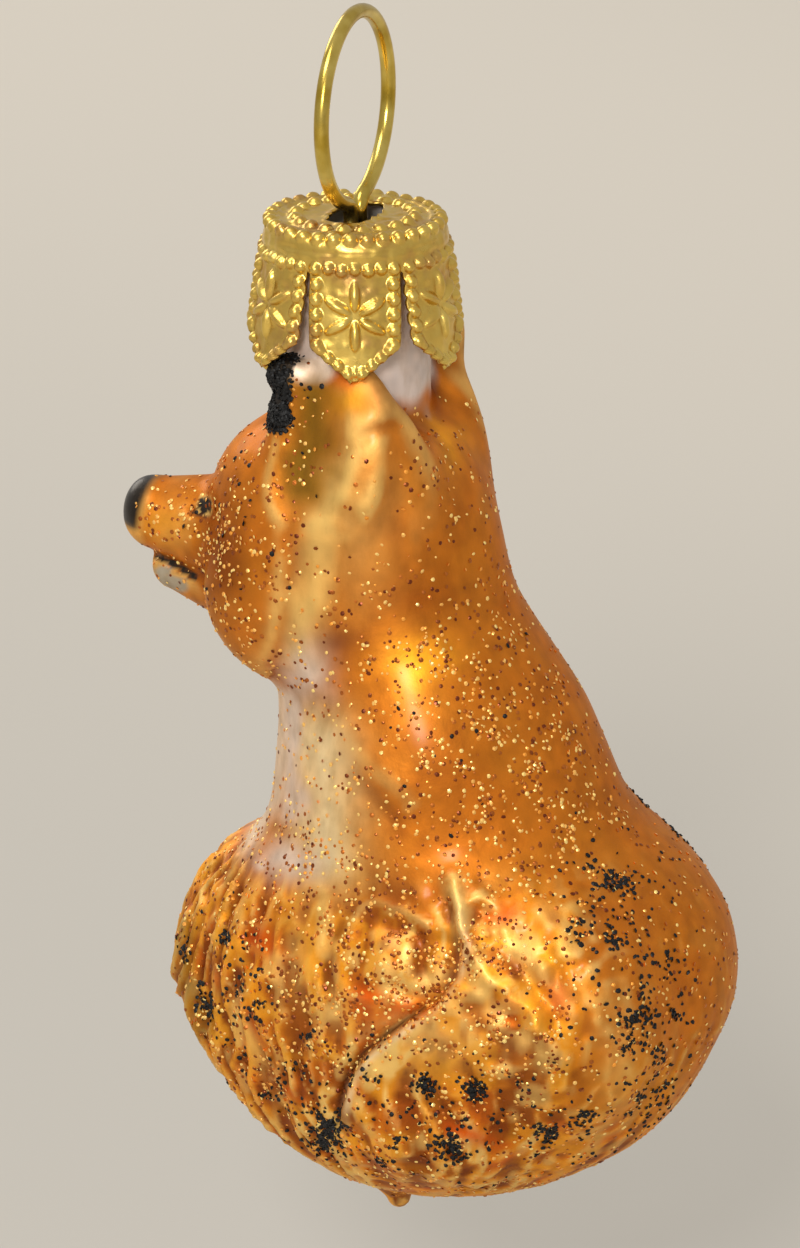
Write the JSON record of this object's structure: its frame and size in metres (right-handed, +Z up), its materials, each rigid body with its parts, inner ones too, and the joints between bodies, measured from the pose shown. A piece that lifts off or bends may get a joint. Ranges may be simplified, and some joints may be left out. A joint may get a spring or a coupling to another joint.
{
  "type": "blown glass fox ornament",
  "caption": "Small hanging ornament: a sitting fox in mould-blown, silvered and lacquered glass with a stamped crown cap and a round wire hanger.",
  "frame": {"origin": "where a hook bears, at the inside top of the hanger's loop", "axes": "+Z up along the neck and the hanger, the fox faces -Y, its left side is at +X and the hanger's loop lies in the XZ plane"},
  "size_m": [0.0209, 0.032, 0.0623],
  "materials": {
    "lacquered_glass": "silvered inside and lacquered amber orange, glossy",
    "cap_gold": "stamped thin sheet, gold, satin",
    "wire_gold": "gold lacquered spring wire, glossy"
  },
  "bodies": {
    "hanger": {"hanger_wire": "wire_gold"},
    "cap": {"ornament_cap": "cap_gold"},
    "glass": {"glass_body": "lacquered_glass"}
  },
  "joints": [
    {"name": "hanger_swivel", "type": "hinge", "parent": "hanger", "child": "cap", "pos_m": [0, 0, 0], "axis": [0, 0, 1], "continuous": true},
    {"name": "cap_pull_off", "type": "slide", "parent": "cap", "child": "glass", "axis": [0, 0, -1], "range_m": [0, 0.014]}
  ]
}
